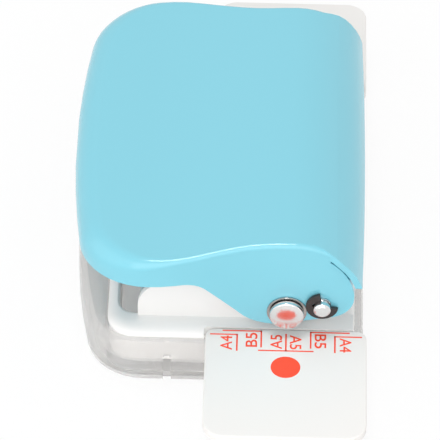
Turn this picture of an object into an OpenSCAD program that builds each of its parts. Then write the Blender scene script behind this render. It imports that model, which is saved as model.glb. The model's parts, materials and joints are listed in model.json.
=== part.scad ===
// Six-hole loose-leaf paper punch with a press lever, chip tray and two plug-in gauge plates.
// Units are millimetres, +Z is up, the row of punches runs along Y and the lever hinge is at +X.

/* [Hole pattern] */
// Number of punches in the row
hole_count = 6; // [2:1:8]
// Distance between neighbouring holes
hole_pitch = 9.5; // [8:0.5:12]
// Diameter of a punched hole
hole_d = 5.5; // [4:0.1:7]
// Position of the punch line along X
row_x = 12.7; // [8:0.1:16]
// Height of the plane on which the paper lies
paper_z = 12.7; // [11:0.1:15]
// Height of the slot that takes the paper
paper_gap = 0.9; // [0.6:0.1:1.4]
// Die plate beyond the middle of the last hole
die_margin = 4.45; // [4:0.05:8]

/* [Chip tray] */
// Front end of the clear tray
tray_front = -27.5; // [-32:0.1:-24]
// Back end of the clear tray
tray_back = 27.1; // [24:0.1:32]
// How far the tray's ends stand out beyond the deck
tray_lip = 0.9; // [0.5:0.1:3]
// Height of the tray's rim
tray_h = 10.6; // [8:0.1:12]
// Wall and floor thickness of the tray
tray_wall = 1.4; // [1:0.1:2.5]
// Corner radius at the tray's front, seen from above
tray_corner = 11; // [4:0.5:14]
// How far the tray's front edge bows out
tray_bow = 2.8; // [0:0.1:4]
// Edge radius of the tray's hollow nose
nose_round = 3.5; // [1:0.5:5]
// Edge radius around the tray's foot
foot_round = 1.2; // [0.4:0.1:2]
// Corner radius at the tray's back, seen from above
tray_back_corner = 3; // [1:0.5:6]
// Width of the slots that free the snap tabs
tab_slot_w = 1.5; // [1:0.1:2.5]
// Height of those slots
tab_slot_h = 6.4; // [4:0.1:9]

/* [Deck] */
// Front end of the white deck
deck_front = -20.8; // [-24:0.1:-16]
// Back end of the white deck
deck_back = 25.5; // [22:0.1:30]
// How far the deck's ends stand out beyond the lever's ears
deck_out = 0.2; // [0:0.1:3]
// Width of the soft edge around the deck's top
deck_soft = 2.8; // [1:0.1:4]
// Corner radius at the deck's front, seen from above
deck_corner = 5.2; // [5:0.1:8]
// Lower edge of the skirt that dips into the tray
skirt_z = 4.4; // [2:0.1:8]
// Front edge of the window in the deck
window_front = -18.6; // [-22:0.1:-16]
// Deck beyond the ends of the window
window_margin = 5.1; // [4:0.1:8]
// Radius of the rounded lip around the window
window_lip = 1; // [0.4:0.1:1.4]

/* [Punch frame] */
// Thickness of the die plate
die_t = 2; // [1.5:0.1:3]
// Thickness of the bracket's sheet
foot_t = 1.2; // [0.8:0.1:2]
// Front end of the bracket
bracket_front = -15.1; // [-18:0.05:-10]
// Gap between the die plate's ends and the bracket's cheeks
cheek_gap = 0.8; // [0.4:0.1:2]
// Thickness of the bracket's cheeks
cheek_t = 1; // [0.8:0.1:1.6]
// Height of the cheeks at the front, above the paper plane
cheek_h = 8.6; // [6:0.1:12]
// Rounding of the cheeks' front corner
cheek_round = 6; // [1:0.5:7]
// Paper stop, measured from the punch line
stop_back = 6.5; // [5:0.1:15]

/* [Lever] */
// Hinge axis along X
pivot_x = 19.2; // [17:0.1:21]
// Height of the hinge axis
pivot_z = 20.4; // [18:0.1:23]
// Height of the press pins' axis
press_z = 18.4; // [17:0.1:21]
// Front end of the lever
lever_front = -27.8; // [-32:0.1:-24]
// Thickness of the washers between the cheeks and the ears
washer_t = 1.5; // [1:0.1:3]
// How far the handle flares beyond the ears on each side
lever_flare = 3.6; // [0:0.1:6]
// Length along X over which it flares
flare_l = 21.6; // [12:0.1:26]
// Highest line of the lever, above the hinge
lever_top = 35.1; // [33:0.1:38]
// Drop of the lever's top towards its front
lever_drop = 2; // [0:0.1:4]
// How far the lever's front edge bows out
front_bow = 1.8; // [0.2:0.1:3]
// Radius of the rounded back of the lever
back_r = 13.3; // [11:0.1:15]
// Centre of that rounding along X
back_x = 13.7; // [12:0.1:15]
// How far the lever's back strip stands out beyond the ears
strip_out = 0.75; // [0:0.05:2]
// How far the back strip swells at its middle
strip_bow = 0.5; // [0.1:0.05:1]
// Corner radius at the lever's front, seen from above
lever_corner = 13; // [6:0.5:16]
// Wall thickness of the lever
lever_wall = 1.8; // [1.2:0.1:2.5]
// Edge radius beside the ears
edge_small = 1; // [0.6:0.1:2]
// Edge radius around the handle's front
edge_large = 4.6; // [1:0.1:5]
// Lower edge of the handle's skirt
skirt_low = 27; // [24:0.1:29]
// Lower end of the ears
ear_low = 14.25; // [13.5:0.05:16]
// Travel of the lever in degrees
lever_travel = 12.5; // [8:0.5:14]

/* [Pins and springs] */
// Diameter of the hinge shaft
shaft_d = 3.2; // [2.5:0.1:4]
// Diameter of the press pins' heads
press_head_d = 6.4; // [5:0.1:7]
// Diameter of the rings under those heads
press_ring_d = 7.4; // [6:0.1:9]
// Diameter of the press pins in the ears
press_body_d = 5; // [4:0.1:6]
// Diameter of the press pins in the ram
press_tip_d = 3; // [2:0.1:4]
// Wire of the return springs
spring_wire = 0.6; // [0.4:0.1:0.8]
// Mean diameter of the return springs
spring_d = 6.8; // [6.6:0.1:7.4]
// Coils of a return spring
spring_turns = 5; // [3:1:6]

/* [Gauge plates] */
// Length of a gauge plate along the row
gauge_l = 27.8; // [20:0.1:40]
// Width of a gauge plate
gauge_w = 30; // [20:1:40]
// Thickness of a gauge plate
gauge_t = 1.7; // [1.4:0.1:2.5]
// How far a gauge plate's inner edge tucks in behind the deck's rim
gauge_tuck = 1; // [0:0.1:2]
// Corner radius at the outer end
gauge_corner = 4; // [1:0.5:8]
// Corner radius at the inner end
gauge_inner = 1.8; // [0.5:0.1:3]
// Width of the tongue that plugs into the deck
tongue_w = 20; // [12:1:24]
// Depth of that tongue
tongue_l = 3.3; // [2:0.1:4]
// Thickness of that tongue
tongue_t = 0.9; // [0.7:0.1:1.2]

/* [Fits] */
// Radial play of the punches and pins that move
run_fit = 0.05; // [0.02:0.01:0.1]
// Radial play of the parts that are pressed or pushed in
push_fit = 0.02; // [0.01:0.01:0.05]
// Air between parts that pass one another
air = 0.3; // [0.3:0.05:0.6]

/* [Hidden] */
$fn = 64;
spring_names = [for (i = [1:hole_count]) str("return_spring_", i)];
punch_names = [for (i = [1:hole_count]) str("punch_", i)];
eps = 0.01;
far = 60;

// Places of the punches along the row
function hole_y(i) = (i - (hole_count + 1) / 2) * hole_pitch;

// Heights in the stack of the punch frame
die_low = paper_z - die_t;
guide_low = paper_z + paper_gap;
guide_top = guide_low + foot_t;
stop_x = row_x - stop_back;
flange_x = 18.1;
flange_z = 18.2;
foot_front = bracket_front + 0.4;

// Lengths along the row, from the last hole outwards
die_half = hole_y(hole_count) + die_margin;
cheek_half = die_half + cheek_gap + cheek_t;
ear_in = cheek_half + washer_t + air;
ear_play = 0.1;
lever_half = ear_in + ear_play + lever_wall;
deck_half = lever_half + deck_out;
tray_half = deck_half + tray_lip;
window_half = deck_half - window_margin;
gauge_in = deck_half - gauge_tuck;
foot_half = cheek_half - 0.2;

// Die plate and its seat in the deck
die_front = bracket_front + 0.45;
die_back = pivot_x + 1.5;
seat_lip = 1.4;
seat_play = 0.2;
deck_wall = 1.5;
window_corner = 3;
deck_back_corner = 1.8;
boss_d = 5.2;
rim_low = tray_h + air;
deck_skirt_half = tray_half - tray_wall - air;
rib_y = hole_y(hole_count) - hole_pitch / 2;

// Bracket screws
screw_x = [-8.9, 2.1];
screw_d = 2.4;
screw_head_d = 4.4;
screw_head_h = 1.3;
screw_low = skirt_z + 0.8;

// Lever ears, hinge shaft and clips
washer_d = 6;
clip_t = 0.6;
clip_in = lever_half + air;
clip_d = 6;
shaft_out = clip_in + clip_t + 1.3;
groove_d = 2.4;
slit_w = 0.6;
back_wall = 1.3;
back_z = lever_top - back_r;
back_low = 25.3;

// Angles round the lever's back where the strip starts and where its ends run out
strip_a = 52.5;
run_a = 75;
run_l = 30;
strip_in = back_r - back_wall + 0.05;
strip_sink = 0.02;

// Rings and heads of the press pins
ring_t = 0.35;
neck_l = 0.3;
head_l = 1.1;
head_in = lever_half + ring_t + neck_l;
flare_x = row_x - press_ring_d / 2 - air;
skirt_x = -4.1;
drop_l = 27;
edge_x = -6;
edge_l = 21;
rib_low = skirt_low + 2;
rib_front = lever_front + 4.2;
rib_back = row_x - 6.6;
rib_t = 1.2;

// Ram, its tabs and the play of the press pins in them
ram_z = 24;
ram_t = 2;
ram_half_w = 4;
tab_out = cheek_half - cheek_t - air;
tab_t = 1;
pin_in = tab_out - tab_t - 0.1;
arm_x = row_x - pivot_x;
arm_z = press_z - pivot_z;
press_dx = arm_x * cos(lever_travel) - arm_z * sin(lever_travel) - arm_x;
press_dz = arm_z * cos(lever_travel) + arm_x * sin(lever_travel) - arm_z;
slot_play = run_fit + 0.03;
pin_room = press_tip_d / 2 + air;

// Punches
punch_tip = guide_low + 0.1;
punch_step = 20;
shank_d = 4;
rivet_d = 5.4;

// Springs between the bracket's foot and the ram
spring_low = guide_top + spring_wire / 2;
spring_high = ram_z - spring_wire / 2;
spring_pitch = (spring_high - spring_low) / spring_turns;
spring_gap = spring_pitch - abs(press_dz) / spring_turns - spring_wire;

// Slots beside the tray's tabs and the flutes above them
tab_slot_x = [-9.5, 3.5];
flute = 0.4;

// Gauge seats
gauge_low = paper_z - gauge_t;
seat_out = gauge_in - air;
seat_margin = 0.3;

echo(punch_stroke = -press_dz, spring_self_gap = spring_gap);

// Soft step from 0 to 1
function soft(t) = let (u = min(1, max(0, t))) u * u * (3 - 2 * u);

function mix(a, b, t) = a + (b - a) * t;

// Points of an arc in the plane
function arc(c, r, a0, a1, n) = [for (i = [0:n]) c + r * [cos(mix(a0, a1, i / n)), sin(mix(a0, a1, i / n))]];

// Path whose corners [x, y, radius] are rounded
function rounded(p, n = 8) = [for (i = [0:len(p) - 1])
    each corner(p[(i + len(p) - 1) % len(p)], p[i], p[(i + 1) % len(p)], n)];

function flat2(p) = [p[0], p[1]];

function corner(a, b, c, n) = b[2] == 0 ? [flat2(b)] :
    let (
        u = (flat2(a) - flat2(b)) / norm(flat2(a) - flat2(b)),
        v = (flat2(c) - flat2(b)) / norm(flat2(c) - flat2(b)),
        half = acos(u * v) / 2,
        mid = flat2(b) + (u + v) / norm(u + v) * b[2] / sin(half),
        s = flat2(b) + u * b[2] / tan(half) - mid,
        e = flat2(b) + v * b[2] / tan(half) - mid,
        a0 = atan2(s[1], s[0]),
        da = atan2(e[1], e[0]) - a0,
        turn = da > 180 ? da - 360 : da < -180 ? da + 360 : da
    ) arc(mid, b[2], a0, a0 + turn, n);

// Turn of a bowed front edge where it meets its corner
function bow_turn(bow, w) = atan(2 * bow / w);

// Half outline of a rounded rectangle with a bowed front, from the back round the near side to the front
function half_plan(xb, xf, w, rb, rf, bow = 0, n = 6) = let (
        turn = bow_turn(bow, w - rf),
        end = w - rf + rf * sin(turn)
    ) concat(
        arc([xb - rb, rb - w], rb, 0, -90, n),
        arc([xf + bow + rf * cos(turn), rf - w], rf, -90, turn - 180, n),
        [for (t = bow > 0 ? [0.75, 0.5, 0.25] : []) [xf + bow * t * t, -end * t]]
    );

// Closed outline from half an outline and its mirror image
function outline(h) = concat(h, [for (i = [len(h) - 1:-1:0]) [h[i][0], -h[i][1]]]);

// Closed ring from half an outline of [x, y, z] points and its mirror image
function ring(h) = concat(h, [for (i = [len(h) - 1:-1:0]) [h[i][0], -h[i][1], h[i][2]]]);

function level(h, z) = [for (p = h) [p[0], p[1], z]];

// Solid through rings of equal length, the lowest first
module loft(rings) {
    n = len(rings[0]);
    m = n / 2;
    top = (len(rings) - 1) * n;
    polyhedron(
        points = [for (r = rings) each r],
        faces = concat(
            [for (j = [0:len(rings) - 2]) for (i = [0:n - 1])
                [j * n + i, j * n + (i + 1) % n, (j + 1) * n + (i + 1) % n, (j + 1) * n + i]],
            [for (i = [0:m - 2]) [n - 1 - i, n - 2 - i, i + 1, i]],
            [for (i = [0:m - 2]) [top + i, top + i + 1, top + n - 2 - i, top + n - 1 - i]]
        ),
        convexity = 6
    );
}

// Plate with a side view in X and Z, from y0 to y1
module side_plate(points, y0, y1) {
    translate([0, y1, 0])
        rotate([90, 0, 0])
            linear_extrude(y1 - y0)
                polygon(points);
}

// Block between two corners
module block(a, b) {
    translate(a)
        cube(b - a);
}

// Round bar along Y
module bar(x, z, d, y0, y1) {
    translate([x, y1, z])
        rotate([90, 0, 0])
            cylinder(d = d, h = y1 - y0);
}

// Upright round bar
module post(x, y, d, z0, z1) {
    translate([x, y, z0])
        cylinder(d = d, h = z1 - z0);
}

// Same shape at both ends of the row
module both_ends() {
    children();
    mirror([0, 1, 0])
        children();
}

// Clear chip tray

function nose_edge(x) = mix(0.8, nose_round, soft((deck_front + 4.5 - x) / 8));

function tray_plan(r) = half_plan(
    tray_back - r, tray_front + r, tray_half - r,
    max(0.4, tray_back_corner - r), tray_corner - r, tray_bow, 8
);

// Ring on the tray's rounded upper edge, at an angle of that edge
function tray_ring(a) = let (p = tray_plan(0)) ring([for (k = [0:len(p) - 1])
    let (
        e = nose_edge(p[k][0]),
        q = mix(p[k], tray_plan(e)[k], 1 - cos(a))
    ) [q[0], q[1], tray_h - e + e * sin(a)]]);

// Ring on the tray's rounded foot
function tray_foot(a) = ring(level(tray_plan(foot_round * (1 - cos(a))), foot_round * (1 - sin(a))));

module tray_tab_slots() {
    for (x = tab_slot_x) {
        block([x - tab_slot_w / 2, -far, -1], [x + tab_slot_w / 2, tray_wall + eps - tray_half, tab_slot_h]);
        block(
            [x - tab_slot_w / 3, -far, tab_slot_h - eps],
            [x + tab_slot_w / 3, flute - tray_half, tray_h + 1]
        );
    }
}

module chip_tray() {
    color([0.86, 0.88, 0.88, 0.45])
        difference() {
            loft(concat(
                [for (a = [90:-30:0]) tray_foot(a)],
                [for (a = [0:15:90]) tray_ring(a)]
            ));
            translate([0, 0, tray_wall])
                linear_extrude(tray_h - tray_wall - 1.6)
                    polygon(outline(tray_plan(tray_wall)));
            translate([0, 0, tray_wall])
                linear_extrude(tray_h)
                    polygon(rounded([
                        [tray_back - tray_wall, -tray_half + tray_wall, 2],
                        [tray_back - tray_wall, tray_half - tray_wall, 2],
                        [deck_front - air, tray_half - tray_wall, 5],
                        [deck_front - air, -tray_half + tray_wall, 5]
                    ]));
            both_ends()
                tray_tab_slots();
        }
}

// White deck with its window, die seat and gauge seats

function window_plan(r) = half_plan(
    die_front - seat_play, window_front - r, window_half + r, 0.2, window_corner + r
);

module deck_window() {
    loft(concat(
        [ring(level(window_plan(0), -1))],
        [for (a = [0:15:90])
            ring(level(window_plan(window_lip * (1 - cos(a))), paper_z - window_lip * (1 - sin(a))))],
        [ring(level(window_plan(window_lip), paper_z + 1))]
    ));
}

module gauge_seat() {
    block(
        [row_x - gauge_w / 2, -seat_out, rim_low],
        [deck_back - seat_margin, -die_half - air, paper_z]
    );
}

// Room for a plate's inner edge in the deck's rim
module gauge_relief() {
    block(
        [row_x - gauge_w / 2 - air, -far, gauge_low - air],
        [row_x + gauge_w / 2 + air, air - gauge_in, far]
    );
}

module gauge_slot() {
    block(
        [row_x - tongue_w / 2 - run_fit, -far, gauge_low - run_fit],
        [row_x + tongue_w / 2 + run_fit, tongue_l + air - gauge_in, gauge_low + tongue_t + run_fit]
    );
}

// Ribs and bosses that carry the die plate
module deck_ribs() {
    both_ends() {
        block([window_front - 0.5, rib_y - 1, die_low - 4], [deck_back - 1.4, rib_y + 1, die_low]);
        for (x = screw_x)
            post(x, rib_y, boss_d, skirt_z + 0.4, die_low);
    }
}

function deck_plan(r) = half_plan(
    deck_back - r, deck_front + r, deck_half - r, max(0.3, deck_back_corner - r), deck_corner - r
);

module deck() {
    color([0.96, 0.96, 0.96])
        difference() {
            union() {
                loft([for (a = [0:15:90])
                    ring(level(deck_plan(deck_soft * (1 - cos(a))), mix(rim_low, paper_z, sin(a))))]);
                difference() {
                    translate([0, 0, skirt_z])
                        linear_extrude(rim_low + 0.5 - skirt_z)
                            polygon(rounded([
                                [deck_back - 0.1, -deck_skirt_half, 2.4],
                                [deck_back - 0.1, deck_skirt_half, 2.4],
                                [deck_front + air, deck_skirt_half, 4.6],
                                [deck_front + air, -deck_skirt_half, 4.6]
                            ]));
                    block(
                        [window_front, deck_wall - deck_skirt_half, 0],
                        [deck_back - deck_wall, deck_skirt_half - deck_wall, die_low - seat_lip]
                    );
                }
                deck_ribs();
                both_ends()
                    gauge_seat();
            }
            deck_window();
            block(
                [die_front - seat_play, -die_half - seat_play, die_low],
                [die_back + seat_play, die_half + seat_play, far]
            );
            difference() {
                block(
                    [die_front - seat_play, seat_lip - die_half, 0],
                    [die_back - seat_lip, die_half - seat_lip, far]
                );
                deck_ribs();
            }
            both_ends() {
                gauge_slot();
                gauge_relief();
            }
            screw_holes(0, far);
        }
}

// Punch frame

module screw_holes(z0, z1) {
    both_ends()
        for (x = screw_x)
            post(x, rib_y, screw_d + 2 * push_fit, z0 - 1, z1 + 1);
}

module row_holes(d, z0, z1) {
    for (i = [1:hole_count])
        post(row_x, hole_y(i), d, z0 - 1, z1 + 1);
}

module die_plate() {
    color([0.72, 0.73, 0.74])
        difference() {
            block([die_front, -die_half, die_low], [die_back, die_half, paper_z]);
            row_holes(hole_d + 2 * run_fit, die_low, paper_z);
            screw_holes(die_low, paper_z);
        }
}

module paper_stop() {
    color([0.66, 0.67, 0.68])
        difference() {
            block([die_front, -die_half, paper_z], [stop_x, die_half, guide_low]);
            screw_holes(paper_z, guide_low);
        }
}

function cheek_side() = concat(
    rounded([
        [bracket_front, paper_z, 0],
        [stop_x, paper_z, 0],
        [stop_x, guide_low, 0],
        [flange_x, guide_low, 2],
        [pivot_x + 3.8, pivot_z - 3.6, 3],
        [pivot_x + 3.8, pivot_z + 4, 3.6],
        [pivot_x - 4.8, pivot_z + 4, 3.6],
        [pivot_x - 9, paper_z + cheek_h, 4],
        [bracket_front, paper_z + cheek_h, cheek_round]
    ])
);

module punch_bracket() {
    color([0.95, 0.95, 0.95])
        difference() {
            union() {
                block([foot_front, -foot_half, guide_low], [flange_x, foot_half, guide_top]);
                block([flange_x - cheek_t, -foot_half, guide_low], [flange_x, foot_half, flange_z]);
                both_ends()
                    side_plate(cheek_side(), -cheek_half, cheek_t - cheek_half);
            }
            row_holes(hole_d + 2 * run_fit, guide_low, guide_top);
            screw_holes(guide_low, guide_top);
            both_ends() {
                bar(pivot_x, pivot_z, shaft_d + 2 * push_fit, -far, 0);
                block(
                    [row_x - ram_half_w - air, -tab_out - air, guide_low - 1],
                    [row_x + ram_half_w + air, tab_t + air - tab_out, guide_top + 1]
                );
                block(
                    [row_x - pin_room, -far, press_z + press_dz - pin_room],
                    [row_x + press_dx + pin_room, eps - tab_out - air, press_z + pin_room]
                );
            }
        }
}

module bracket_screws() {
    color([0.55, 0.56, 0.58])
        both_ends()
            for (x = screw_x)
                difference() {
                    union() {
                        post(x, rib_y, screw_d, screw_low, guide_top + 0.2);
                        post(x, rib_y, screw_head_d, guide_top, guide_top + screw_head_h);
                    }
                    translate([x, rib_y, guide_top + 0.5])
                        cylinder(d = 2.3, h = 2, $fn = 6);
                }
}

module pivot_shaft() {
    color([0.82, 0.83, 0.84])
        difference() {
            union() {
                bar(pivot_x, pivot_z, shaft_d, 0.4 - shaft_out, shaft_out - 0.4);
                both_ends()
                    translate([pivot_x, 0.4 - shaft_out, pivot_z])
                        rotate([90, 0, 0])
                            cylinder(d1 = shaft_d, d2 = shaft_d - 0.8, h = 0.4);
            }
            both_ends()
                difference() {
                    bar(pivot_x, pivot_z, shaft_d + 1, -clip_in - clip_t - 0.05, 0.05 - clip_in);
                    bar(pivot_x, pivot_z, groove_d, -far, 0);
                }
        }
}

module e_clip() {
    centre = [pivot_x, pivot_z];
    difference() {
        bar(pivot_x, pivot_z, clip_d, -clip_in - clip_t, -clip_in);
        bar(pivot_x, pivot_z, groove_d + 2 * push_fit, -far, 0);
        side_plate(concat([centre], arc(centre, clip_d, -8, 98, 4)), -far, 0);
        for (a = [165, 285])
            bar(pivot_x + 1.45 * cos(a), pivot_z + 1.45 * sin(a), 0.9, -far, 0);
    }
}

module e_clips() {
    color([0.2, 0.19, 0.19])
        both_ends()
            e_clip();
}

module pivot_washers() {
    color([0.7, 0.71, 0.72])
        both_ends()
            difference() {
                bar(pivot_x, pivot_z, washer_d, -cheek_half - washer_t, -cheek_half);
                bar(pivot_x, pivot_z, shaft_d + 2 * push_fit, -far, 0);
            }
}

// Press lever

// Half width of the lever at a place along X
function lever_w(x) = lever_half + lever_flare * soft((flare_x - x) / flare_l);

// Top line of the lever along X
function lever_z(x) = x > back_x ?
    back_z + sqrt(max(0, back_r * back_r - (x - back_x) * (x - back_x))) :
    lever_top - lever_drop * soft((back_x - x) / drop_l);

function lever_edge(x) = mix(edge_small, edge_large, soft((edge_x - x) / edge_l));

// Half outline of the lever, each point with its inward direction
function lever_path(r) = let (
        turn = bow_turn(front_bow, lever_half + lever_flare - lever_corner),
        cx = lever_front + front_bow + lever_corner * cos(turn),
        cw = lever_w(cx) - lever_corner,
        end = cw + lever_corner * sin(turn)
    ) concat(
        [for (a = [0:7.5:90]) let (x = back_x + r * cos(a)) [x, -lever_w(x), 0, 1]],
        [for (i = [1:10]) let (x = mix(back_x, cx, i / 10)) [x, -lever_w(x), 0, 1]],
        [for (i = [1:10]) let (a = (90 - turn) * i / 10)
            [cx - lever_corner * sin(a), -cw - lever_corner * cos(a), sin(a), cos(a)]],
        [for (t = [0.75, 0.5, 0.25])
            [lever_front + front_bow * t * t, -end * t, cos(turn * t), sin(turn * t)]]
    );

// Ring on the lever's rounded upper edge, at an angle of that edge
function lever_ring(a) = ring([for (p = lever_path(back_r))
    let (
        e = lever_edge(p[0]),
        d = e * (1 - cos(a)),
        x = p[0] + p[2] * d
    ) [x, p[1] + p[3] * d, lever_z(x) - e * (1 - sin(a))]]);

module lever_body() {
    loft(concat(
        [ring([for (p = lever_path(back_r)) [p[0], p[1], 8]])],
        [for (a = [0:15:90]) lever_ring(a)]
    ));
}

// Ring of the hollow below the lever's top, at an inset and a depth below its ceiling
function hollow_ring(inset, depth) = ring([for (p = lever_path(back_r - back_wall))
    let (x = p[0] + p[2] * inset) [x, p[1] + p[3] * inset, depth > 5 ? 6 : hollow_z(x) - depth]]);

function hollow_z(x) = x > back_x ?
    back_z + sqrt(max(0, pow(back_r - back_wall, 2) - pow(x - back_x, 2))) :
    lever_z(x) - mix(back_wall, lever_wall, soft((back_x - x) / 6));

module lever_hollow() {
    loft([hollow_ring(lever_wall, 20), hollow_ring(lever_wall, 1.2), hollow_ring(lever_wall + 1.2, 0)]);
}

// Everything under the handle's skirt, the ears and the back wall
module lever_underside() {
    side_plate(rounded([
        [-far, -far, 0],
        [far, -far, 0],
        [far, back_low, 0],
        [back_x + back_r - back_wall - slit_w, back_low, 0],
        [back_x + back_r - back_wall - slit_w, ear_low + 3.6, 5],
        [row_x - 5.4, ear_low, 8],
        [skirt_x, skirt_low + 0.2, 6],
        [-far, skirt_low + 0.2, 0]
    ]), -far, far);
}

// Half length of the back strip at an angle round the back
function strip_half(a) = lever_half + mix(0.1 - edge_small, strip_out, soft((run_a - a) / run_l));

// Swell at the strip's middle, full at the back and little where the strip starts
function strip_swell(a) = strip_bow * mix(0.25, 1, soft((strip_a - a) / 30));

function strip_point(a, r, y) = [back_x + r * cos(a), y, back_z + r * sin(a)];

// Ring of the back strip at an angle round the back, with a swell at its middle
function strip_ring(a, bow) = let (h = strip_half(a)) concat(
    [for (u = [1:-0.25:-1]) strip_point(a, back_r - strip_sink + bow * (1 - u * u), u * h)],
    [for (u = [-1:0.25:1]) strip_point(a, strip_in, u * h)]
);

// Back strip, whose ends stand out beyond the ears and run out into the lever's rounded edge
module back_strip() {
    loft(concat(
        [for (a = [7.5:7.5:strip_a]) strip_ring(a, strip_swell(a))],
        [for (a = [strip_a + 1:7:run_a]) strip_ring(a, 0)]
    ));
}

// Narrow slit between an ear and the back strip
module ear_slit() {
    side_plate(concat(
        arc([back_x, back_z], back_r - back_wall, 5, 54, 16),
        arc([back_x, back_z], back_r - back_wall - slit_w, 54, 5, 16)
    ), -far, -ear_in + 0.5);
}

module lever_ribs() {
    for (y = [-0.4, 0, 0.4] * lever_half)
        side_plate([
            [rib_front, rib_low],
            [rib_back, rib_low + 1],
            [rib_back, lever_z(rib_back) - lever_wall / 2],
            [rib_front / 3, lever_z(rib_front / 3) - lever_wall / 2],
            [rib_front, lever_z(rib_front) - lever_wall / 2]
        ], y - rib_t / 2, y + rib_t / 2);
}

module lever_shell() {
    color([0.5, 0.85, 0.92])
        difference() {
            union() {
                difference() {
                    lever_body();
                    lever_hollow();
                }
                lever_ribs();
                back_strip();
            }
            lever_underside();
            both_ends() {
                ear_slit();
                bar(pivot_x, pivot_z, shaft_d + 2 * run_fit, -far, 0);
                bar(row_x, press_z, press_body_d + 2 * push_fit, -far, 0);
            }
        }
}

// Press pin of one ear, with a polished domed head
module press_pin() {
    translate([row_x, 0, press_z])
        rotate([90, 0, 0])
            rotate_extrude()
                polygon(concat(
                    [
                        [0, pin_in],
                        [press_tip_d / 2 - 0.2, pin_in],
                        [press_tip_d / 2, pin_in + 0.2],
                        [press_tip_d / 2, ear_in],
                        [press_body_d / 2, ear_in],
                        [press_body_d / 2, head_in],
                        [press_head_d / 2, head_in]
                    ],
                    arc([press_head_d / 2 - 0.4, head_in + head_l - 0.5], 0.4, 0, 60, 4),
                    [[press_head_d / 4, head_in + head_l - 0.04], [0, head_in + head_l]]
                ));
}

module press_pin_near() {
    color([0.86, 0.86, 0.87])
        press_pin();
}

module press_pin_far() {
    color([0.86, 0.86, 0.87])
        mirror([0, 1, 0])
            press_pin();
}

module press_rings() {
    color([0.78, 0.79, 0.8])
        both_ends()
            difference() {
                bar(row_x, press_z, press_ring_d, -lever_half - ring_t, -lever_half - push_fit);
                bar(row_x, press_z, press_body_d + 2 * push_fit, -far, 0);
            }
}

// Ram with its punches and return springs

module punch_ram() {
    color([0.74, 0.75, 0.76])
        difference() {
            union() {
                block([row_x - ram_half_w, -tab_out, ram_z], [row_x + ram_half_w, tab_out, ram_z + ram_t]);
                both_ends()
                    side_plate(rounded([
                        [row_x - ram_half_w, ram_z + 1, 0],
                        [row_x - ram_half_w, press_z - press_tip_d / 2 - 1, 1.5],
                        [row_x + ram_half_w, press_z - press_tip_d / 2 - 1, 1.5],
                        [row_x + ram_half_w, ram_z + 1, 0]
                    ]), -tab_out, tab_t - tab_out);
            }
            for (i = [1:hole_count])
                post(row_x, hole_y(i), shank_d + 2 * push_fit, ram_z - 1, ram_z + ram_t + 1);
            both_ends() {
                bar(row_x, press_z, press_tip_d + 2 * slot_play, -far, 1 + tab_t - tab_out);
                bar(row_x + press_dx, press_z, press_tip_d + 2 * slot_play, -far, 1 + tab_t - tab_out);
                block(
                    [row_x, -far, press_z - press_tip_d / 2 - slot_play],
                    [row_x + press_dx, 1 + tab_t - tab_out, press_z + press_tip_d / 2 + slot_play]
                );
            }
        }
}

module punch(i) {
    color([0.8, 0.81, 0.82])
        translate([row_x, hole_y(i), 0])
            difference() {
                union() {
                    post(0, 0, hole_d, punch_tip, punch_step);
                    post(0, 0, shank_d, punch_step - eps, ram_z + ram_t + 0.2);
                    post(0, 0, rivet_d, ram_z + ram_t, ram_z + ram_t + 0.9);
                }
                translate([0, 0, punch_tip - 10.4])
                    sphere(r = 10.7);
            }
}

module return_spring(i) {
    steps = 12;
    rings = steps * spring_turns;
    translate([row_x, hole_y(i), 0])
        color([0.6, 0.61, 0.62])
            polyhedron(
                points = [for (k = [0:rings]) for (s = [0:5])
                    let (
                        a = 360 / steps * k,
                        r = spring_d / 2 + spring_wire / 2 * cos(60 * s),
                        z = spring_low + spring_pitch * k / steps + spring_wire / 2 * sin(60 * s)
                    ) [r * cos(a), r * sin(a), z]],
                faces = concat(
                    [for (k = [0:rings - 1]) for (s = [0:5])
                        [k * 6 + s, k * 6 + (s + 1) % 6, k * 6 + 6 + (s + 1) % 6, k * 6 + 6 + s]],
                    [[5, 4, 3, 2, 1, 0]],
                    [[for (s = [0:5]) rings * 6 + s]]
                )
            );
}

// Plug-in gauge plate

module gauge() {
    color([0.95, 0.95, 0.94])
        union() {
            translate([0, 0, gauge_low])
                linear_extrude(gauge_t)
                    polygon(rounded([
                        [row_x - gauge_w / 2, -gauge_in, gauge_inner],
                        [row_x + gauge_w / 2, -gauge_in, gauge_inner],
                        [row_x + gauge_w / 2, -gauge_in - gauge_l, gauge_corner],
                        [row_x - gauge_w / 2, -gauge_in - gauge_l, gauge_corner]
                    ]));
            block(
                [row_x - tongue_w / 2, -gauge_in - 0.5, gauge_low],
                [row_x + tongue_w / 2, tongue_l - gauge_in, gauge_low + tongue_t]
            );
        }
}

module gauge_near() {
    gauge();
}

module gauge_far() {
    translate([2 * row_x, 0, 0])
        rotate([0, 0, 180])
            gauge();
}

chip_tray();
deck();
die_plate();
paper_stop();
punch_bracket();
bracket_screws();
pivot_shaft();
e_clips();
pivot_washers();
lever_shell();
press_pin_near();
press_pin_far();
press_rings();
punch_ram();
for (i = [1:hole_count]) {
    punch(i);
    return_spring(i);
}
gauge_near();
gauge_far();
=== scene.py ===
"""Looks of a six-hole loose-leaf paper punch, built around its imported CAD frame.

Lengths are in millimetres in the classes below and become metres, Blender's unit here, through MM.
The row of punches runs along Y, the lever's hinge is at +X and the lever's free end at -X.
"""

import json
import logging
import math
from dataclasses import dataclass
from enum import Enum

import bpy
from mathutils import Matrix, Vector


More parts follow.
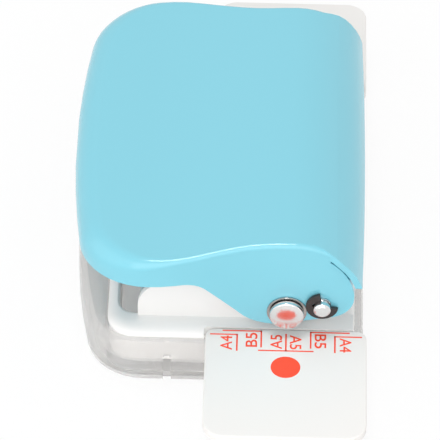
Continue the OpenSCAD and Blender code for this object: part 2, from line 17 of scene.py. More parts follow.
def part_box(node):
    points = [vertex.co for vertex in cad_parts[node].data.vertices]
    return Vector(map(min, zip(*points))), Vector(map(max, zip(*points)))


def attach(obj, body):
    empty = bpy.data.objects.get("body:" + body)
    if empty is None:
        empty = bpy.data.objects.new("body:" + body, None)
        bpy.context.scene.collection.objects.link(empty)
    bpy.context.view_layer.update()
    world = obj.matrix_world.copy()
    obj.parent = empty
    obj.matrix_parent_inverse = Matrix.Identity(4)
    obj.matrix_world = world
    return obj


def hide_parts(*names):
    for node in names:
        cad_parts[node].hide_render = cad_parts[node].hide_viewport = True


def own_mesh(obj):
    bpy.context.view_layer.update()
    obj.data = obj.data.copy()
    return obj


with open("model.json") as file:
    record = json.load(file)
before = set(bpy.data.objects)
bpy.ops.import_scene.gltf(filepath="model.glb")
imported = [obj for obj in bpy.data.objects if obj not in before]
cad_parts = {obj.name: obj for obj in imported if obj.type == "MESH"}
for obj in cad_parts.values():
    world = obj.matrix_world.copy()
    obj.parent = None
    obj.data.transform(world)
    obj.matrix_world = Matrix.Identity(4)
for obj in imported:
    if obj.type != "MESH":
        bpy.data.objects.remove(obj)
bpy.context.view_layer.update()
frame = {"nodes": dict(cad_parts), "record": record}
PUNCHES = [node for node in sorted(frame["nodes"]) if node.startswith("punch_") and node[-1].isdigit()]
SPRINGS = [node for node in sorted(frame["nodes"]) if node.startswith("return_spring")]

MM = 0.001
LOG = logging.getLogger("paper_punch")

# The screen's colour curve: a straight toe up to the knee, then a power.
SCREEN_FULL = 255
SCREEN_KNEE = 0.04045
SCREEN_TOE = 12.92
SCREEN_LIFT = 0.055
SCREEN_POWER = 2.4

# Part of a noise's range that carries nearly all its values.
NOISE_LOW = 0.2
NOISE_HIGH = 0.8

# Points closer than this in millimetres are one, and faces within this angle in degrees are flat.
MERGE = 0.002
FLAT = 0.2

Colour = tuple[float, float, float]
Place = tuple[float, float, float]
Stretch = tuple[float, float, float]


def screen_colour(red: int, green: int, blue: int) -> Colour:
    """Turns a colour as a screen shows it into Blender's linear values.

    Args:
        red: Red from 0 to 255.
        green: Green from 0 to 255.
        blue: Blue from 0 to 255.

    Returns:
        The three linear values, from 0 to 1.
    """
    parts = []
    for value in (red, green, blue):
        share = value / SCREEN_FULL
        if share <= SCREEN_KNEE:
            parts.append(share / SCREEN_TOE)
        else:
            parts.append(((share + SCREEN_LIFT) / (1 + SCREEN_LIFT)) ** SCREEN_POWER)
    return tuple(parts)


def shaded(colour: Colour, share: float) -> tuple[float, float, float, float]:
    """Multiplies a colour by a share and adds the alpha that sockets want."""
    return (*(min(1.0, part * share) for part in colour), 1.0)


class Slot(Enum):
    """Material slots of the record, each with the finish of one kind of piece."""

    CLEAR_PLASTIC = "clear_plastic"
    WHITE_PLASTIC = "white_plastic"
    GAUGE_PLASTIC = "gauge_plastic"
    BLUE_PLASTIC = "blue_plastic"
    WHITE_PAINT = "white_paint"
    DIE_STEEL = "die_steel"
    PUNCH_STEEL = "punch_steel"
    SPRING_STEEL = "spring_steel"
    SCREW_STEEL = "screw_steel"
    CHROME_PIN = "chrome_pin"
    BLACK_STEEL = "black_steel"


class Axis(Enum):
    """Axes along which a finish can change."""

    X = "X"
    Z = "Z"


@dataclass(frozen=True)
class Step:
    """Stretch along one axis, in millimetres, over which a finish changes."""

    axis: Axis
    low: float
    high: float


class Shader:
    """Node tree of one material, with short calls for the nodes that the finishes share."""

    def __init__(self, name: str) -> None:
        """Starts a material with its shader and its object coordinates.

        Args:
            name: Name of the new material.
        """
        self.material = bpy.data.materials.new(name)
        self.material.use_nodes = True
        self.tree = self.material.node_tree
        self.bsdf = self.tree.nodes["Principled BSDF"]
        self.place = self.tree.nodes.new("ShaderNodeTexCoord").outputs["Object"]

    def noise(self, size: float, detail: float, stretch: Stretch = (1, 1, 1)) -> bpy.types.NodeSocket:
        """Adds noise on the piece's own coordinates.

        Args:
            size: Size of one blob in millimetres.
            detail: Octaves of finer noise.
            stretch: Share of the scale along each axis, low where the noise is drawn out.

        Returns:
            The socket with the noise's value.
        """
        mapping = self.tree.nodes.new("ShaderNodeMapping")
        mapping.inputs["Scale"].default_value = stretch
        texture = self.tree.nodes.new("ShaderNodeTexNoise")
        texture.inputs["Scale"].default_value = 1 / (size * MM)
        texture.inputs["Detail"].default_value = detail
        self.tree.links.new(self.place, mapping.inputs["Vector"])
        self.tree.links.new(mapping.outputs["Vector"], texture.inputs["Vector"])
        return texture.outputs["Fac"]

    def spread(self, value: bpy.types.NodeSocket, low: float, high: float) -> bpy.types.NodeSocket:
        """Maps the useful middle of a noise onto a range.

        Args:
            value: Noise to read.
            low: Result where the noise is weak.
            high: Result where the noise is strong.

        Returns:
            The socket with the mapped value.
        """
        node = self.tree.nodes.new("ShaderNodeMapRange")
        node.interpolation_type = "SMOOTHSTEP"
        node.inputs["From Min"].default_value = NOISE_LOW
        node.inputs["From Max"].default_value = NOISE_HIGH
        node.inputs["To Min"].default_value = low
        node.inputs["To Max"].default_value = high
        self.tree.links.new(value, node.inputs["Value"])
        return node.outputs["Result"]

    def by_place(self, step: Step, below: float, above: float) -> bpy.types.NodeSocket:
        """Lets a value change along one axis of the object.

        Args:
            step: Where the change lies.
            below: Value before the change.
            above: Value after the change.

        Returns:
            The socket with the value.
        """
        parts = self.tree.nodes.new("ShaderNodeSeparateXYZ")
        node = self.tree.nodes.new("ShaderNodeMapRange")
        node.inputs["From Min"].default_value = step.low * MM
        node.inputs["From Max"].default_value = step.high * MM
        node.inputs["To Min"].default_value = below
        node.inputs["To Max"].default_value = above
        self.tree.links.new(self.place, parts.inputs["Vector"])
        self.tree.links.new(parts.outputs[step.axis.value], node.inputs["Value"])
        return node.outputs["Result"]

    def product(self, one: bpy.types.NodeSocket, other: bpy.types.NodeSocket) -> bpy.types.NodeSocket:
        """Multiplies two values."""
        node = self.tree.nodes.new("ShaderNodeMath")
        node.operation = "MULTIPLY"
        self.tree.links.new(one, node.inputs[0])
        self.tree.links.new(other, node.inputs[1])
        return node.outputs[0]

    def colour(self, value: bpy.types.NodeSocket, colour: Colour, drift: float) -> None:
        """Lets the base colour drift a little with a noise.

        Args:
            value: Noise that drives the drift.
            colour: Colour in the middle of the drift.
            drift: Share by which it goes darker and lighter.
        """
        mix = self.tree.nodes.new("ShaderNodeMix")
        mix.data_type = "RGBA"
        mix.inputs["A"].default_value = shaded(colour, 1 - drift)
        mix.inputs["B"].default_value = shaded(colour, 1 + drift)
        self.tree.links.new(self.spread(value, 0, 1), mix.inputs["Factor"])
        self.tree.links.new(mix.outputs["Result"], self.bsdf.inputs["Base Color"])

    def roughness(self, value: bpy.types.NodeSocket, middle: float, drift: float) -> None:
        """Lets the roughness vary around its middle with a noise."""
        varied = self.spread(value, middle - drift, middle + drift)
        self.tree.links.new(varied, self.bsdf.inputs["Roughness"])

    def relief(self, value: bpy.types.NodeSocket, depth: float, strength: float) -> None:
        """Raises the surface by a noise.

        Args:
            value: Height of the relief, from 0 to 1.
            depth: Depth in millimetres.
            strength: Share of the relief that shows.
        """
        bump = self.tree.nodes.new("ShaderNodeBump")
        bump.inputs["Distance"].default_value = depth * MM
        bump.inputs["Strength"].default_value = strength
        self.tree.links.new(value, bump.inputs["Height"])
        self.tree.links.new(bump.outputs["Normal"], self.bsdf.inputs["Normal"])


@dataclass(frozen=True)
class MouldedPlastic:
    """Opaque moulded plastic with a fine grain and a slight drift of colour."""

    name: str
    colour: Colour
    rough: float
    gloss: float = 0.5
    drift: float = 0.003
    drift_size: float = 0.25
    rough_drift: float = 0.015
    rough_size: float = 0.35
    grain: float = 0.2
    depth: float = 0.0004
    strength: float = 0.3
    detail: float = 1

    def build(self) -> bpy.types.Material:
        """Makes the material."""
        shader = Shader(self.name)
        shader.colour(shader.noise(self.drift_size, self.detail), self.colour, self.drift)
        shader.roughness(shader.noise(self.rough_size, self.detail), self.rough, self.rough_drift)
        shader.relief(shader.noise(self.grain, self.detail), self.depth, self.strength)
        shader.bsdf.inputs["Specular IOR Level"].default_value = self.gloss
        return shader.material


@dataclass(frozen=True)
class ClearPlastic:
    """Clear moulded plastic with faint flow lines, painted shade on its floor and painted light on its
    nose.
    """

    name: str
    tint: Colour
    drift: float = 0.01
    drift_size: float = 14
    detail: float = 2
    rough: float = 0.12
    rough_drift: float = 0.02
    rough_size: float = 3
    rough_detail: float = 3
    flow_size: float = 5
    flow_stretch: Stretch = (1, 0.4, 1)
    flow_depth: float = 0.02
    flow_strength: float = 0.3
    ior: float = 1.45
    clarity: float = 0.9
    film: float = 0.5
    # Below this height the floor is less clear and more opaque, which darkens it: painted shade for the
    # shadow under the object.
    floor_shade: Step = Step(Axis.Z, 1.55, 1.75)
    floor_shade_clarity: float = 0.5
    floor_shade_film: float = 0.76
    # Beyond this the nose is made less clear, which lightens it: painted light.
    nose_light: Step = Step(Axis.X, -22.5, -20.5)
    nose_light_clarity: float = 0.6

    def build(self) -> bpy.types.Material:
        """Makes the material."""
        shader = Shader(self.name)
        shader.colour(shader.noise(self.drift_size, self.detail), self.tint, self.drift)
        shader.roughness(shader.noise(self.rough_size, self.rough_detail), self.rough, self.rough_drift)
        flow = shader.noise(self.flow_size, self.detail, self.flow_stretch)
        shader.relief(flow, self.flow_depth, self.flow_strength)
        shader.bsdf.inputs["IOR"].default_value = self.ior
        # Clarity and film change by place: painted shade on the floor, painted light on the nose.
        clarity = shader.product(
            shader.by_place(self.floor_shade, self.floor_shade_clarity, self.clarity),
            shader.by_place(self.nose_light, self.nose_light_clarity, 1),
        )
        film = shader.by_place(self.floor_shade, self.floor_shade_film, self.film)
        shader.tree.links.new(clarity, shader.bsdf.inputs["Transmission Weight"])
        shader.tree.links.new(film, shader.bsdf.inputs["Alpha"])
        return shader.material


@dataclass(frozen=True)
class Metal:
    """Bare or plated metal with drawn or ground lines."""

    name: str
    colour: Colour
    rough: float = 0.3
    drift: float = 0.05
    drift_size: float = 3
    drift_detail: float = 3
    lines: Stretch = (1, 0.05, 1)
    line_size: float = 0.12
    line_detail: float = 2
    line_rough: float = 0.06
    depth: float = 0.003
    strength: float = 0.4
    metallic: float = 1.0

    def build(self) -> bpy.types.Material:
        """Makes the material."""
        shader = Shader(self.name)
        shader.colour(shader.noise(self.drift_size, self.drift_detail), self.colour, self.drift)
        drawn = shader.noise(self.line_size, self.line_detail, self.lines)
        shader.roughness(drawn, self.rough, self.line_rough)
        shader.relief(drawn, self.depth, self.strength)
        shader.bsdf.inputs["Metallic"].default_value = self.metallic
        return shader.material


@dataclass(frozen=True)
class PrintedInk:
    """Screen-printed ink with a slightly uneven film."""

    name: str
    colour: Colour
    drift: float = 0.03
    drift_size: float = 1.2
    drift_detail: float = 4
    rough: float = 0.45
    rough_drift: float = 0.06
    rough_size: float = 0.6
    grain: float = 0.15
    detail: float = 3
    depth: float = 0.004
    strength: float = 0.4

    def build(self) -> bpy.types.Material:
        """Makes the material."""
        shader = Shader(self.name)
        shader.colour(shader.noise(self.drift_size, self.drift_detail), self.colour, self.drift)
        shader.roughness(shader.noise(self.rough_size, self.detail), self.rough, self.rough_drift)
        shader.relief(shader.noise(self.grain, self.detail), self.depth, self.strength)
        return shader.material


FINISHES = {
    Slot.CLEAR_PLASTIC: ClearPlastic("clear_tray_plastic", (0.92, 0.905, 0.89)),
    Slot.WHITE_PLASTIC: MouldedPlastic("deck_white_plastic", screen_colour(249, 247, 245), rough=0.38),
    Slot.GAUGE_PLASTIC: MouldedPlastic("gauge_white_plastic", screen_colour(239, 236, 233), rough=0.42),
    Slot.BLUE_PLASTIC: MouldedPlastic(
        "lever_blue_plastic", screen_colour(127, 203, 220), rough=0.16, gloss=0.6
    ),
    Slot.WHITE_PAINT: MouldedPlastic("bracket_white_paint", screen_colour(239, 237, 235), rough=0.4),
    Slot.DIE_STEEL: Metal("plated_sheet_steel", (0.5, 0.51, 0.52), rough=0.32),
    Slot.PUNCH_STEEL: Metal("ground_punch_steel", (0.6, 0.61, 0.62), rough=0.22, lines=(0.05, 0.05, 1)),
    Slot.SPRING_STEEL: Metal("drawn_spring_wire", (0.45, 0.45, 0.46), rough=0.3),
    Slot.SCREW_STEEL: Metal("plated_screw_steel", (0.5, 0.5, 0.51), rough=0.3),
    Slot.CHROME_PIN: Metal("polished_pin_plating", (0.76, 0.75, 0.75), rough=0.18, depth=0.0002),
    Slot.BLACK_STEEL: Metal("blackened_clip_steel", (0.04, 0.034, 0.034), rough=0.42, metallic=0.3),
}
# The rings get a darker steel than the pins they sit on: painted shade for the dark rims round the pin
# heads.
NODE_FINISHES = {"press_rings": Metal("ring_steel_painted_shade", (0.42, 0.41, 0.4), rough=0.25)}
INK = PrintedInk("red_orange_ink", screen_colour(255, 78, 44))


class Bench:
    """Modelling moves that the sub-assemblies share, made with Blender's own operators."""

    @staticmethod
    def clear() -> None:
        """Leaves edit mode and deselects everything."""
        if bpy.context.object is not None and bpy.context.object.mode != "OBJECT":
            bpy.ops.object.mode_set(mode="OBJECT")
        bpy.ops.object.select_all(action="DESELECT")

    @staticmethod
    def take(*pieces: bpy.types.Object) -> None:
        """Selects some pieces and makes the first one active."""
        Bench.clear()
        for piece in pieces:
            piece.select_set(True)
        bpy.context.view_layer.objects.active = pieces[0]

    @staticmethod
    def settle(piece: bpy.types.Object) -> None:
        """Puts a piece's place, turn and scale into its mesh."""
        Bench.take(piece)
        bpy.ops.object.transform_apply(location=True, rotation=True, scale=True)

    @staticmethod
    def smooth(piece: bpy.types.Object, angle: float) -> None:
        """Shades a piece smooth, apart from edges sharper than an angle, with flat faces kept flat.

        Args:
            piece: Piece to shade.
            angle: Angle in degrees above which an edge stays sharp.
        """
        Bench.take(piece)
        bpy.ops.object.shade_smooth_by_angle(angle=math.radians(angle))
        piece.modifiers.new("even_normals", "WEIGHTED_NORMAL").keep_sharp = True
        bpy.ops.object.modifier_apply(modifier="even_normals")

    @staticmethod
    def join(name: str, *pieces: bpy.types.Object) -> bpy.types.Object:
        """Joins pieces into one.

        Args:
            name: Name of the result.
            pieces: Pieces that become one.

        Returns:
            The joined piece.
        """
        Bench.take(*pieces)
        bpy.ops.object.join()
        joined = bpy.context.object
        joined.name = name
        return joined


class Wardrobe:
    """Materials by slot and by node, each built once."""

    def __init__(self) -> None:
        """Builds every material of the object."""
        self.by_slot = {slot: finish.build() for slot, finish in FINISHES.items()}
        self.by_node = {node: finish.build() for node, finish in NODE_FINISHES.items()}
        self.ink = INK.build()
        subparts = frame["record"]["subparts"]
        self.node_slot = {row["node"]: Slot(row["material_slot"]) for row in subparts}
        bodies = frame["record"]["behaviour"]["bodies"]
        self.node_body = {node: body for body, nodes in bodies.items() for node in nodes}

    @staticmethod
    def paint(piece: bpy.types.Object, material: bpy.types.Material) -> None:
        """Gives a piece one material."""
        piece.data.materials.clear()
        piece.data.materials.append(material)

    def hand_over(self, piece: bpy.types.Object, node: str) -> None:
        """Lets a piece stand for a CAD node, on that node's body and with its finish.

        Args:
            piece: Finished piece.
            node: Name of the CAD node.
        """
        slot = self.node_slot[node]
        material = self.by_node.get(node, self.by_slot[slot])
        self.paint(piece, material)
        self.paint(frame["nodes"][node], material)
        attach(piece, self.node_body[node])
        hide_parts(node)
        LOG.info("%s stands for %s on %s", piece.name, node, self.node_body[node])


@dataclass(frozen=True)
class EdgeFinish:
    """How the sharp edges of a node are broken: width in millimetres, angles in degrees."""

    width: float
    segments: int
    sharper_than: float = 38
    smooth: float = 34


def dressed_copy(node: str, edge: EdgeFinish) -> bpy.types.Object:
    """Copies a CAD node, joins its loose triangles and breaks its sharp edges.

    Args:
        node: Name of the CAD node.
        edge: Edge finish of the copy.

    Returns:
        The copy, smooth shaded, at the origin.
    """
    piece = bpy.data.objects.new(f"{node}_dressed", frame["nodes"][node].data.copy())
    bpy.context.scene.collection.objects.link(piece)
    Bench.take(piece)
    bpy.ops.mesh.customdata_custom_splitnormals_clear()
    bpy.ops.object.mode_set(mode="EDIT")
    bpy.ops.mesh.select_all(action="SELECT")
    bpy.ops.mesh.remove_doubles(threshold=MERGE * MM)
    bpy.ops.mesh.dissolve_limited(angle_limit=math.radians(FLAT))
    bpy.ops.object.mode_set(mode="OBJECT")
    bevel = piece.modifiers.new("broken_edges", "BEVEL")
    bevel.width = edge.width * MM
    bevel.segments = edge.segments
    bevel.limit_method = "ANGLE"
    bevel.angle_limit = math.radians(edge.sharper_than)
    bevel.use_clamp_overlap = True
    bpy.ops.object.modifier_apply(modifier=bevel.name)
    Bench.smooth(piece, edge.smooth)
    return piece


@dataclass
class CadAssembly:
    """CAD nodes that keep their shape and get broken edges and a finish."""

    edges: dict[str, EdgeFinish]

    def build(self, wardrobe: Wardrobe) -> list[bpy.types.Object]:
        """Dresses each node of the assembly.

        Args:
            wardrobe: Materials by slot.

        Returns:
            The dressed copies.
        """
        pieces = []
        for node, edge in self.edges.items():
            piece = dressed_copy(node, edge)
            wardrobe.hand_over(piece, node)
            pieces.append(piece)
        return pieces


@dataclass
class ReturnSprings:
    """Coil springs round the punches, with closed ends."""

    wire: float = 0.6
    wire_sides: int = 12
    turns: int = 5
    steps: int = 36
    stroke: float = 1.36
    merge: float = 0.0005
    smooth: float = 50

    def wind(self, node: str) -> bpy.types.Object:
        """Winds one spring in the place of its CAD node.

        Args:
            node: Name of the spring's CAD node.

        Returns:
            The wound wire, capped at both ends.
        """
        low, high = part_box(node)
        middle = (low + high) / 2
        radius = (high.x - low.x - self.wire * MM) / 2
        rise = (high.z - low.z - self.wire * MM) / self.turns
        Bench.clear()
        bpy.ops.mesh.primitive_circle_add(
            vertices=self.wire_sides,
            radius=self.wire * MM / 2,
            fill_type="NGON",
            location=(radius, 0, 0),
            rotation=(math.pi / 2, 0, 0),
        )
        spring = bpy.context.object
        spring.name = f"{node}_wound"
        Bench.settle(spring)
        screw = spring.modifiers.new("coil", "SCREW")
        screw.axis = "Z"
        screw.angle = 2 * math.pi
        screw.iterations = self.turns
        screw.screw_offset = rise
        screw.steps = screw.render_steps = self.steps
        screw.use_merge_vertices = False
        bpy.ops.object.modifier_apply(modifier=screw.name)
        self.cap_and_turn_out(spring)
        spring.location = (middle.x, middle.y, low.z + self.wire * MM / 2)
        Bench.settle(spring)
        Bench.smooth(spring, self.smooth)
        return spring

    def cap_and_turn_out(self, spring: bpy.types.Object) -> None:
        """Closes the open end of a wound wire and turns its faces outwards."""
        Bench.take(spring)
        bpy.ops.object.mode_set(mode="EDIT")
        bpy.ops.mesh.select_all(action="SELECT")
        bpy.ops.mesh.remove_doubles(threshold=self.merge * MM)
        bpy.ops.mesh.select_all(action="DESELECT")
        bpy.ops.mesh.select_mode(type="EDGE")
        bpy.ops.mesh.select_non_manifold()
        bpy.ops.mesh.edge_face_add()
        bpy.ops.mesh.select_all(action="SELECT")
        bpy.ops.mesh.normals_make_consistent(inside=False)
        bpy.ops.object.mode_set(mode="OBJECT")

    def build(self, wardrobe: Wardrobe) -> list[bpy.types.Object]:
        """Winds every spring of the row.

        Args:
            wardrobe: Materials by slot.

        Returns:
            The springs.
        """
        springs = []
        for node in SPRINGS:
            spring = self.wind(node)
            wardrobe.hand_over(spring, node)
            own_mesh(spring)
            springs.append(spring)
        return springs


class PaperSize(Enum):
    """Paper sizes that the gauge plate is marked for."""

    A4 = "A4"
    B5 = "B5"
    A5 = "A5"


@dataclass(frozen=True)
class CornerMark:
    """Corner mark of one paper size, in millimetres, mirrored about the punch line.

    The corner lies at side and edge. One line runs from it outwards to the offset tick, and one of the
    length run goes from it along the row. The label's middle lies at label_x and label_y.
    """

    size: PaperSize
    side: float
    edge: float
    tick: float
    run: float
    label_x: float
    label_y: float


@dataclass
class GaugePrint:
    """Red print on a gauge plate: corner marks, their labels, a bar and the dot for an earlier hole."""

    line: float = 0.3
    film: float = 0.02
    sink: float = 0.01
    letter_h: float = 2.1
    letter_l: float = 3.6
    bold: float = 0.035
    dot_d: float = 5.5
    dot_y: float = 42.75
    dot_sides: int = 64
    bar_half: float = 5.0
    bar_y: float = 38.5
    marks: tuple[CornerMark, ...] = (
        CornerMark(PaperSize.A4, 9.1, 34.5, 14.0, 4.1, 11.1, 36.7),
        CornerMark(PaperSize.B5, 4.6, 33.5, 11.7, 4.1, 6.4, 35.8),
        CornerMark(PaperSize.A5, 0.0, 34.2, 0.0, 4.3, 1.8, 36.2),
    )

    def stroke(self, start: tuple[float, float], end: tuple[float, float]) -> bpy.types.Object:
        """Lays one printed line along X or Y.

        Args:
            start: First end, as an offset from the punch line and a distance along the row.
            end: Other end.

        Returns:
            The line as a thin closed film.
        """
        Bench.clear()
        bpy.ops.mesh.primitive_plane_add(size=1)
        film = bpy.context.object
        film.scale = (
            (abs(end[0] - start[0]) + self.line) * MM,
            (abs(end[1] - start[1]) + self.line) * MM,
            1,
        )
        film.location = ((start[0] + end[0]) / 2 * MM, -(start[1] + end[1]) / 2 * MM, 0)
        Bench.settle(film)
        self.thicken(film)
        return film

    def thicken(self, film: bpy.types.Object) -> None:
        """Gives a flat film its thickness, upwards from just inside the plate."""
        Bench.take(film)
        film.location.z = -self.sink * MM
        Bench.settle(film)
        solid = film.modifiers.new("film", "SOLIDIFY")
        solid.thickness = (self.film + self.sink) * MM
        solid.offset = 1
        bpy.ops.object.modifier_apply(modifier=solid.name)

    def embolden(self, film: bpy.types.Object) -> None:
        """Widens the strokes of a thickened film and levels its faces again."""
        Bench.take(film)
        bpy.ops.object.mode_set(mode="EDIT")
        bpy.ops.mesh.select_all(action="SELECT")
        bpy.ops.mesh.normals_make_consistent(inside=False)
        bpy.ops.transform.shrink_fatten(value=self.bold * MM, use_even_offset=True)
        bpy.ops.object.mode_set(mode="OBJECT")
        middle = (self.film - self.sink) / 2 * MM
        for vertex in film.data.vertices:
            vertex.co.z = (self.film if vertex.co.z > middle else -self.sink) * MM

    def dot(self) -> bpy.types.Object:
        """Prints the dot on which a hole punched before is laid."""
        Bench.clear()
        radius = self.dot_d / 2 * MM
        bpy.ops.mesh.primitive_circle_add(vertices=self.dot_sides, radius=radius, fill_type="NGON")
        film = bpy.context.object
        film.location.y = -self.dot_y * MM
        Bench.settle(film)
        self.thicken(film)
        return film

    def label(self, mark: CornerMark, side: int) -> bpy.types.Object:
        """Prints the name of a paper size beside its mark.

        Args:
            mark: Mark that the label belongs to.
            side: -1 for the side of the lever's front, 1 for the side of the hinge.

        Returns:
            The label as a thin film.
        """
        Bench.clear()
        bpy.ops.object.text_add()
        words = bpy.context.object
        words.data.body = mark.size.value
        words.data.align_x = "CENTER"
        words.data.align_y = "CENTER"
        bpy.ops.object.convert(target="MESH")
        film = bpy.context.object
        xs = [vertex.co.x for vertex in film.data.vertices]
        ys = [vertex.co.y for vertex in film.data.vertices]
        middle = Vector(((min(xs) + max(xs)) / 2, (min(ys) + max(ys)) / 2, 0))
        film.data.transform(Matrix.Translation(-middle))
        film.scale = (
            self.letter_l * MM / (max(xs) - min(xs)),
            self.letter_h * MM / (max(ys) - min(ys)),
            1,
        )
        film.rotation_euler.z = -side * math.pi / 2
        film.location = (side * mark.label_x * MM, -mark.label_y * MM, 0)
        Bench.settle(film)
        self.thicken(film)
        self.embolden(film)
        return film

    def corner(self, mark: CornerMark, side: int) -> list[bpy.types.Object]:
        """Prints one corner mark with its label.

        Args:
            mark: Mark to print.
            side: -1 for the side of the lever's front, 1 for the side of the hinge.

        Returns:
            The films of the mark.
        """
        corner = (side * mark.side, mark.edge)
        films = [self.label(mark, side)]
        if mark.tick > mark.side:
            films.append(self.stroke(corner, (side * mark.tick, mark.edge)))
        if mark.tick > mark.side or side > 0:
            films.append(self.stroke(corner, (corner[0], mark.edge + mark.run)))
        return films

    def build(self, wardrobe: Wardrobe) -> list[bpy.types.Object]:
        """Prints both plates.

        Args:
            wardrobe: Materials by slot.

        Returns:
            The print of the near plate and of the far one.
        """
        films = [self.dot(), self.stroke((-self.bar_half, self.bar_y), (self.bar_half, self.bar_y))]
        for mark in self.marks:
            for side in (-1, 1):
                films += self.corner(mark, side)
        near = Bench.join("gauge_near_print", *films)
        far = bpy.data.objects.new("gauge_far_print", near.data.copy())
        bpy.context.scene.collection.objects.link(far)
        low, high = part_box("gauge_near")
        place = Matrix.Translation(((low.x + high.x) / 2, 0, high.z))
        near.data.transform(place)
        far.data.transform(place @ Matrix.Rotation(math.pi, 4, "Z"))
        for piece, body in ((near, "gauge_plate_near"), (far, "gauge_plate_far")):
            wardrobe.paint(piece, wardrobe.ink)
            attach(piece, body)
            LOG.info("%s rides on %s", piece.name, body)
        return [near, far]


@dataclass(frozen=True)
class SoftBox:
    """Square soft light that faces the object: place and side in millimetres, power in watts."""

    name: str
    place: Place
    size: float
    power: float

    def hang(self, aim_at: Place) -> None:
        """Hangs the light.

        Args:
            aim_at: Point that the light faces, in millimetres.
        """
        data = bpy.data.lights.new(self.name, "AREA")
        data.size = self.size * MM
        data.energy = self.power
        light = bpy.data.objects.new(self.name, data)
        bpy.context.scene.collection.objects.link(light)
        aim = Vector(aim_at) - Vector(self.place)
        light.location = Vector(self.place) * MM
        light.rotation_euler = aim.to_track_quat("-Z", "Y").to_euler()


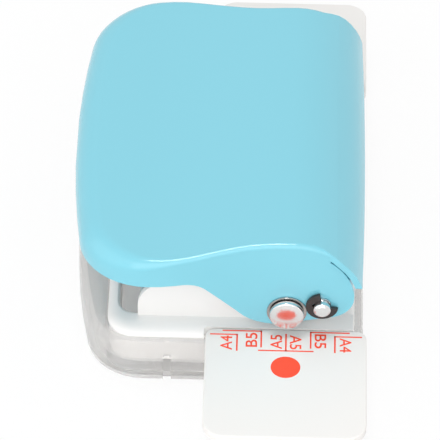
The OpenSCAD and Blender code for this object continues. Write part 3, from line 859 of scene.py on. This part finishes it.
@dataclass
class Studio:
    """Floor, lights and camera: angles in degrees, lengths in millimetres."""

    elevation: float = 43.531
    azimuth: float = 0.89
    roll: float = 0.753
    distance: float = 796.897
    aim_right: float = -13.114
    aim_up: float = -2.39
    aim_at: Place = (12.7, 0.0, 12.7)
    focal: float = 339.244
    sensor: float = 36.0
    nearest: float = 10
    farthest: float = 20000
    floor_size: float = 6000
    floor_z: float = -0.02
    floor_white: float = 0.95
    floor_rough: float = 0.9
    floor_gloss: float = 0.1
    floor_glow: float = 0.88
    ambient: float = 0.56
    lights_aim: Place = (0, 0, 20)
    lights: tuple[SoftBox, ...] = (
        SoftBox("over", (-50, -120, 1100), 260, 3.1),
        SoftBox("back", (200, 900, 950), 1800, 1.2),
        SoftBox("front", (-50, -1000, 450), 1300, 7.3),
        SoftBox("left", (-850, -200, 400), 1000, 1.3),
        SoftBox("right", (750, 0, 850), 1000, 0.4),
    )

    def camera(self) -> None:
        """Sets the camera at the photograph's angle."""
        rise, turn, roll = (math.radians(a) for a in (self.elevation, self.azimuth, self.roll))
        level = math.cos(rise)
        back = Vector((math.sin(turn) * level, -math.cos(turn) * level, math.sin(rise)))
        right = Vector((math.cos(turn), math.sin(turn), 0))
        up = back.cross(right)
        place = Vector(self.aim_at) + right * self.aim_right + up * self.aim_up + back * self.distance
        across = right * math.cos(roll) + up * math.sin(roll)
        upward = up * math.cos(roll) - right * math.sin(roll)
        data = bpy.data.cameras.new("camera")
        data.sensor_width = self.sensor
        data.lens = self.focal
        data.clip_start = self.nearest * MM
        data.clip_end = self.farthest * MM
        camera = bpy.data.objects.new("camera", data)
        bpy.context.scene.collection.objects.link(camera)
        turned = Matrix((across, upward, back)).transposed().to_4x4()
        camera.matrix_world = Matrix.Translation(place * MM) @ turned
        bpy.context.scene.camera = camera

    @staticmethod
    def white_for_view(tree: bpy.types.NodeTree) -> bpy.types.NodeSocket:
        """Adds a switch that is on for what the camera, a mirror or clear plastic sees directly.

        Args:
            tree: Node tree of the floor or the world.

        Returns:
            The socket of the switch.
        """
        path = tree.nodes.new("ShaderNodeLightPath")
        seen = path.outputs["Is Camera Ray"]
        for ray in ("Is Glossy Ray", "Is Transmission Ray"):
            either = tree.nodes.new("ShaderNodeMath")
            either.operation = "MAXIMUM"
            tree.links.new(seen, either.inputs[0])
            tree.links.new(path.outputs[ray], either.inputs[1])
            seen = either.outputs[0]
        return seen

    def world(self) -> None:
        """Lights the scene evenly, with a white background."""
        world = bpy.data.worlds.new("studio")
        world.use_nodes = True
        bpy.context.scene.world = world
        tree = world.node_tree
        background = tree.nodes["Background"]
        background.inputs["Color"].default_value = (1, 1, 1, 1)
        level = tree.nodes.new("ShaderNodeMapRange")
        level.inputs["To Min"].default_value = self.ambient
        level.inputs["To Max"].default_value = 1.0
        tree.links.new(self.white_for_view(tree), level.inputs["Value"])
        tree.links.new(level.outputs["Result"], background.inputs["Strength"])

    def floor(self) -> None:
        """Lays a pale floor that keeps the object's shadow."""
        Bench.clear()
        bpy.ops.mesh.primitive_plane_add(size=self.floor_size * MM, location=(0, 0, self.floor_z * MM))
        floor = bpy.context.object
        floor.name = "floor"
        material = bpy.data.materials.new("floor_white")
        material.use_nodes = True
        tree = material.node_tree
        shader = tree.nodes["Principled BSDF"]
        shader.inputs["Base Color"].default_value = (*(self.floor_white,) * 3, 1)
        shader.inputs["Roughness"].default_value = self.floor_rough
        shader.inputs["Specular IOR Level"].default_value = self.floor_gloss
        glow = tree.nodes.new("ShaderNodeEmission")
        share = tree.nodes.new("ShaderNodeMath")
        share.operation = "MULTIPLY"
        share.inputs[1].default_value = self.floor_glow
        mix = tree.nodes.new("ShaderNodeMixShader")
        tree.links.new(self.white_for_view(tree), share.inputs[0])
        tree.links.new(share.outputs[0], mix.inputs["Fac"])
        tree.links.new(shader.outputs[0], mix.inputs[1])
        tree.links.new(glow.outputs[0], mix.inputs[2])
        tree.links.new(mix.outputs[0], tree.nodes["Material Output"].inputs["Surface"])
        floor.data.materials.append(material)

    def build(self) -> None:
        """Sets up the whole studio."""
        self.camera()
        self.world()
        self.floor()
        for light in self.lights:
            light.hang(self.lights_aim)
        bpy.context.scene.view_settings.view_transform = "Standard"


THICK = EdgeFinish(0.3, 3)
MOULDED = EdgeFinish(0.25, 3)
SHEET = EdgeFinish(0.15, 2)
FINE = EdgeFinish(0.08, 2)

TRAY = CadAssembly({"chip_tray": MOULDED})
BASE = CadAssembly({
    "deck": MOULDED,
    "die_plate": SHEET,
    "paper_stop": FINE,
    "punch_bracket": SHEET,
    "bracket_screws": FINE,
    "pivot_shaft": FINE,
    "e_clips": FINE,
    "pivot_washers": FINE,
})
LEVER = CadAssembly({
    "lever_shell": MOULDED,
    "press_pin_near": FINE,
    "press_pin_far": FINE,
    "press_rings": FINE,
})
RAM = CadAssembly({"punch_ram": SHEET, **dict.fromkeys(PUNCHES, FINE)})
GAUGES = CadAssembly({"gauge_near": THICK, "gauge_far": THICK})


def main() -> None:
    """Builds the sub-assemblies in order, then the studio."""
    logging.basicConfig(level=logging.INFO, format="%(name)s: %(message)s")
    wardrobe = Wardrobe()
    for assembly in (TRAY, BASE, ReturnSprings(), LEVER, RAM, GAUGES, GaugePrint()):
        pieces = assembly.build(wardrobe)
        LOG.info("%s: %d pieces", type(assembly).__name__, len(pieces))
    Studio().build()
    Bench.clear()


if __name__ == "__main__":
    main()
